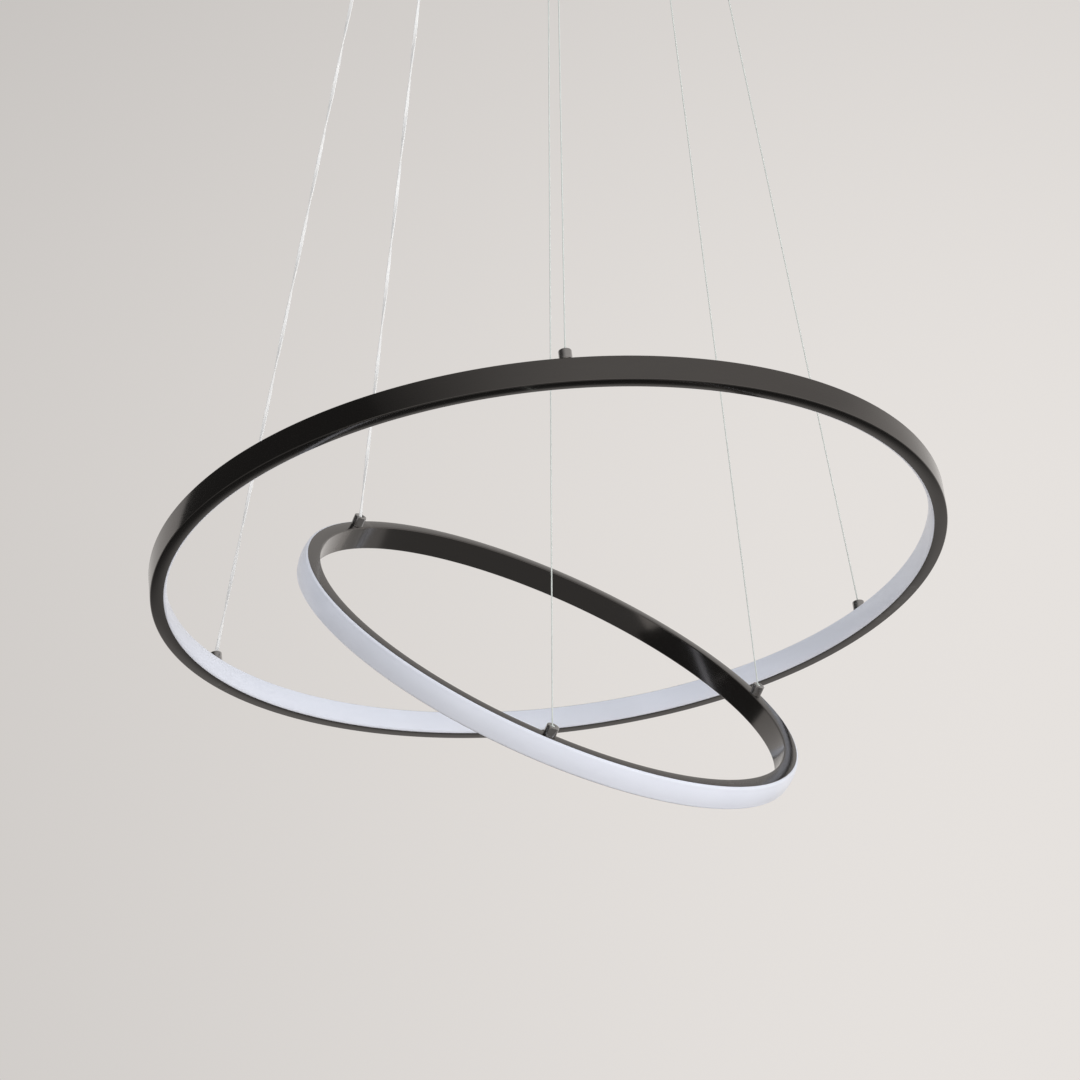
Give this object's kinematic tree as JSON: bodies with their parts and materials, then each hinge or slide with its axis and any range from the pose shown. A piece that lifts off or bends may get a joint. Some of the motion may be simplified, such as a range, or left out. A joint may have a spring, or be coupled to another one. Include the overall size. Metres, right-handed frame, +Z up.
{
  "type": "ring chandelier",
  "caption": "Pendant light with thin tilted metal rings that carry opal light strips, hung one inside the other on wires and clear cables from a round ceiling canopy.",
  "frame": {"origin": "on the ceiling, at the middle of the canopy bracket's two slots", "axes": "+Z up into the ceiling; +X along the bracket and to the right in the picture; +Y away from the viewer"},
  "size_m": [0.5984, 0.5462, 0.874],
  "materials": {
    "ring_metal": "dark gunmetal, brushed along the ring and anodised, glossy",
    "diffuser": "opal white, satin",
    "grip_metal": "turned, dark chrome",
    "zinc_steel": "bright zinc plate",
    "wire_steel": "stranded stainless wire",
    "clear_cable": "clear jacket over two plated cores",
    "canopy_paint": "black, satin",
    "nickel": "satin nickel plate",
    "spring_steel": "plain",
    "driver_plastic": "moulded, off-white",
    "foam": "foam tape",
    "board": "green circuit board",
    "components": "mixed parts",
    "terminal_plastic": "moulded nylon",
    "lead_insulation": "insulated leads",
    "brass": "plain",
    "strip_film": "white circuit film",
    "chip": "yellow phosphor",
    "bare_aluminium": "mill finish",
    "black_steel": "black oxide"
  },
  "bodies": {
    "canopy": {"ceiling_bracket": "zinc_steel", "earth_screw": "brass", "canopy_shell": "canopy_paint", "canopy_side_screws": "canopy_paint", "driver_pad": "foam", "driver_case": "driver_plastic", "driver_lid": "driver_plastic", "driver_board": "board", "driver_components": "components", "terminal_block": "terminal_plastic", "terminal_screws": "zinc_steel", "lead_connectors": "terminal_plastic", "input_leads": "lead_insulation", "earth_lead": "lead_insulation", "output_leads": "lead_insulation", "gripper_bodies": "nickel", "gripper_nuts": "zinc_steel", "large_right_spring": "spring_steel", "large_near_spring": "spring_steel", "small_right_spring": "spring_steel", "small_near_spring": "spring_steel", "cable_glands": "nickel", "gland_nuts": "zinc_steel"},
    "large_right_release": {"large_right_plunger": "nickel"},
    "large_near_release": {"large_near_plunger": "nickel"},
    "small_right_release": {"small_right_plunger": "nickel"},
    "small_near_release": {"small_near_plunger": "nickel"},
    "large_hanger": {"large_wire_right": "wire_steel", "large_cable": "clear_cable"},
    "large_near_line": {"large_wire_near": "wire_steel"},
    "large_ring": {"large_channel": "ring_metal", "large_closing_piece": "ring_metal", "large_diffuser": "diffuser", "large_led_strip": "strip_film", "large_led_chips": "chip", "large_joiner_bar": "bare_aluminium", "large_joiner_screws": "black_steel", "large_grip_caps": "grip_metal", "large_grip_studs": "grip_metal", "large_grip_nuts": "zinc_steel", "large_strip_leads": "lead_insulation"},
    "small_hanger": {"small_wire_right": "wire_steel", "small_wire_near": "wire_steel"},
    "small_cable_line": {"small_cable": "clear_cable"},
    "small_ring": {"small_channel": "ring_metal", "small_closing_piece": "ring_metal", "small_diffuser": "diffuser", "small_led_strip": "strip_film", "small_led_chips": "chip", "small_joiner_bar": "bare_aluminium", "small_joiner_screws": "black_steel", "small_grip_caps": "grip_metal", "small_grip_studs": "grip_metal", "small_grip_nuts": "zinc_steel", "small_strip_leads": "lead_insulation"}
  },
  "joints": [
    {"name": "large_right_button", "type": "slide", "parent": "canopy", "child": "large_right_release", "axis": [0, 0, 1], "range_m": [0, 0.002], "stiffness_N_per_m": 300, "springref_m": -0.002, "deforming": ["large_right_spring"]},
    {"name": "large_near_button", "type": "slide", "parent": "canopy", "child": "large_near_release", "axis": [0, 0, 1], "range_m": [0, 0.002], "stiffness_N_per_m": 300, "springref_m": -0.002, "deforming": ["large_near_spring"]},
    {"name": "small_right_button", "type": "slide", "parent": "canopy", "child": "small_right_release", "axis": [0, 0, 1], "range_m": [0, 0.002], "stiffness_N_per_m": 300, "springref_m": -0.002, "deforming": ["small_right_spring"]},
    {"name": "small_near_button", "type": "slide", "parent": "canopy", "child": "small_near_release", "axis": [0, 0, 1], "range_m": [0, 0.002], "stiffness_N_per_m": 300, "springref_m": -0.002, "deforming": ["small_near_spring"]},
    {"name": "large_ring_height", "type": "slide", "parent": "canopy", "child": "large_hanger", "axis": [0, 0, 1], "range_m": [-0.2, 0.25], "deforming": ["large_wire_right", "large_cable", "large_wire_near"]},
    {"name": "large_ring_tilt", "type": "hinge", "parent": "large_hanger", "child": "large_ring", "pos_m": [-0.25739, 0.11789, -0.7687], "axis": [0.9937, 0.0819, 0.0759], "range_deg": [0, 26.66]},
    {"name": "large_near_line_slide", "type": "slide", "parent": "large_hanger", "child": "large_near_line", "axis": [0.0925, -0.2228, -0.9705], "range_m": [0, 0.2045]},
    {"name": "small_ring_height", "type": "slide", "parent": "canopy", "child": "small_hanger", "axis": [0, 0, 1], "range_m": [-0.25, 0.15], "deforming": ["small_wire_right", "small_wire_near", "small_cable"]},
    {"name": "small_ring_tilt", "type": "hinge", "parent": "small_hanger", "child": "small_ring", "pos_m": [0.0056, -0.19116, -0.8105], "axis": [-0.4785, -0.8767, -0.0495], "range_deg": [0, 28.67]},
    {"name": "small_cable_line_slide", "type": "slide", "parent": "small_hanger", "child": "small_cable_line", "axis": [-0.1967, 0.162, -0.967], "range_m": [0, 0.1453]}
  ],
  "couplings": [
    {"joint": "large_near_line_slide", "follows": "large_ring_tilt", "m_per_rad": 0.43852},
    {"joint": "small_cable_line_slide", "follows": "small_ring_tilt", "m_per_rad": 0.28946}
  ]
}
